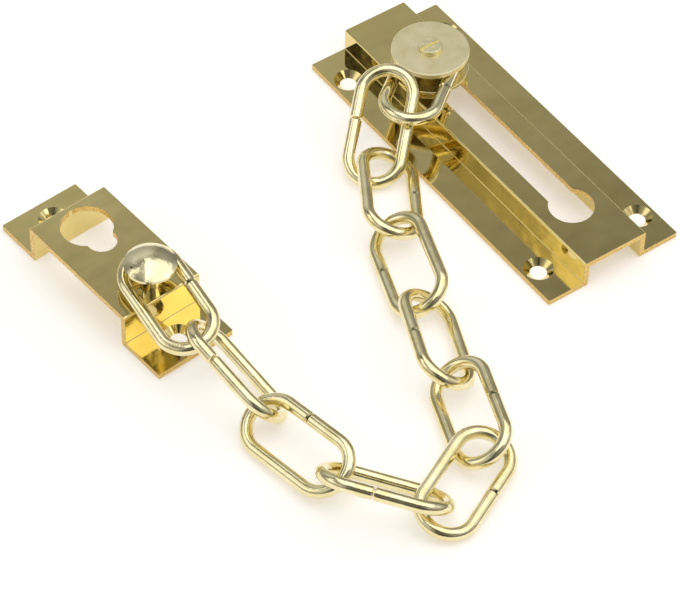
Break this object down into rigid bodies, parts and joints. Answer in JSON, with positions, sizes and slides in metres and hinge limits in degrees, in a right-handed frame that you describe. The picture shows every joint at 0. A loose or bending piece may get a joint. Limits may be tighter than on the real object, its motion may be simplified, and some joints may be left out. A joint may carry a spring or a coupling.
{
  "type": "door chain",
  "caption": "Polished brass door chain: folded slide plate with keyhole slot and runner, round wire link chain, and a small keep plate with a domed stud for the door frame.",
  "frame": {"origin": "middle of the slide plate's four screw holes, on its back face", "axes": "+Z out of the door through the plates, +Y along the slide plate's slot towards the runner's resting end, +X across the slide plate, away from the chain"},
  "size_m": [0.1356, 0.1466, 0.0211],
  "materials": {
    "brass": "polished"
  },
  "bodies": {
    "plate": {"slide_plate": "brass"},
    "runner": {"runner_body": "brass", "runner_disc": "brass", "runner_screw": "brass", "runner_washer": "brass"},
    "link_01": {"link_01": "brass"},
    "link_02": {"link_02": "brass"},
    "link_03": {"link_03": "brass"},
    "link_04": {"link_04": "brass"},
    "link_05": {"link_05": "brass"},
    "link_06": {"link_06": "brass"},
    "link_07": {"link_07": "brass"},
    "link_08": {"link_08": "brass"},
    "link_09": {"link_09": "brass"},
    "link_10": {"link_10": "brass"},
    "link_11": {"link_11": "brass"},
    "keep": {"keep_plate": "brass", "keep_stud": "brass"}
  },
  "joints": [
    {"name": "runner_slide", "type": "slide", "parent": "plate", "child": "runner", "axis": [0, 1, 0], "range_m": [-0.0588, 0]},
    {"name": "link_01_swivel", "type": "hinge", "parent": "runner", "child": "link_01", "pos_m": [0, 0.0263, 0], "axis": [0, 0, 1], "range_deg": [-75, 0]},
    {"name": "link_02_swing", "type": "hinge", "parent": "link_01", "child": "link_02", "pos_m": [-0.01715, 0.01209, 0.01009], "axis": [-0.6457, -0.6022, -0.4695], "range_deg": [-120, 0]},
    {"name": "link_03_swing", "type": "hinge", "parent": "link_02", "child": "link_03", "pos_m": [-0.03262, 0.00681, 0.00177], "axis": [-0.6631, 0.7471, -0.0462], "range_deg": [0, 105]},
    {"name": "link_04_swing", "type": "hinge", "parent": "link_03", "child": "link_04", "pos_m": [-0.04044, -0.01419, 0.00678], "axis": [-0.7655, 0.5245, 0.3726], "range_deg": [-120, 5]},
    {"name": "link_05_swing", "type": "hinge", "parent": "link_04", "child": "link_05", "pos_m": [-0.04852, -0.03791, 0.00622], "axis": [0.7946, -0.269, 0.5443], "range_deg": [-45, 120]},
    {"name": "link_06_swing", "type": "hinge", "parent": "link_05", "child": "link_06", "pos_m": [-0.05792, -0.061, 0.00695], "axis": [0.7662, -0.3654, -0.5286], "range_deg": [0, 120]},
    {"name": "link_07_swing", "type": "hinge", "parent": "link_06", "child": "link_07", "pos_m": [-0.05828, -0.07864, 0.00474], "axis": [-0.4205, 0.8697, 0.2585], "range_deg": [0, 120]},
    {"name": "link_08_swing", "type": "hinge", "parent": "link_07", "child": "link_08", "pos_m": [-0.08543, -0.0913, 0.00317], "axis": [-0.4205, 0.8697, 0.2585], "range_deg": [0, 50]},
    {"name": "link_09_swing", "type": "hinge", "parent": "link_08", "child": "link_09", "pos_m": [-0.09556, -0.06953, 0.00623], "axis": [0.8599, 0.1619, 0.4841], "range_deg": [-35, 120]},
    {"name": "link_10_swing", "type": "hinge", "parent": "link_09", "child": "link_10", "pos_m": [-0.09652, -0.04487, 0.00483], "axis": [0.6921, 0.2661, -0.671], "range_deg": [-70, 105]},
    {"name": "link_11_swing", "type": "hinge", "parent": "link_10", "child": "link_11", "pos_m": [-0.10005, -0.01611, 0.0126], "axis": [0.6921, 0.2661, -0.671], "range_deg": [0, 120]},
    {"name": "keep_swivel", "type": "hinge", "parent": "link_11", "child": "keep", "pos_m": [-0.10082, 0.00202, 0], "axis": [0, 0, -1], "range_deg": [-15, 105]}
  ]
}
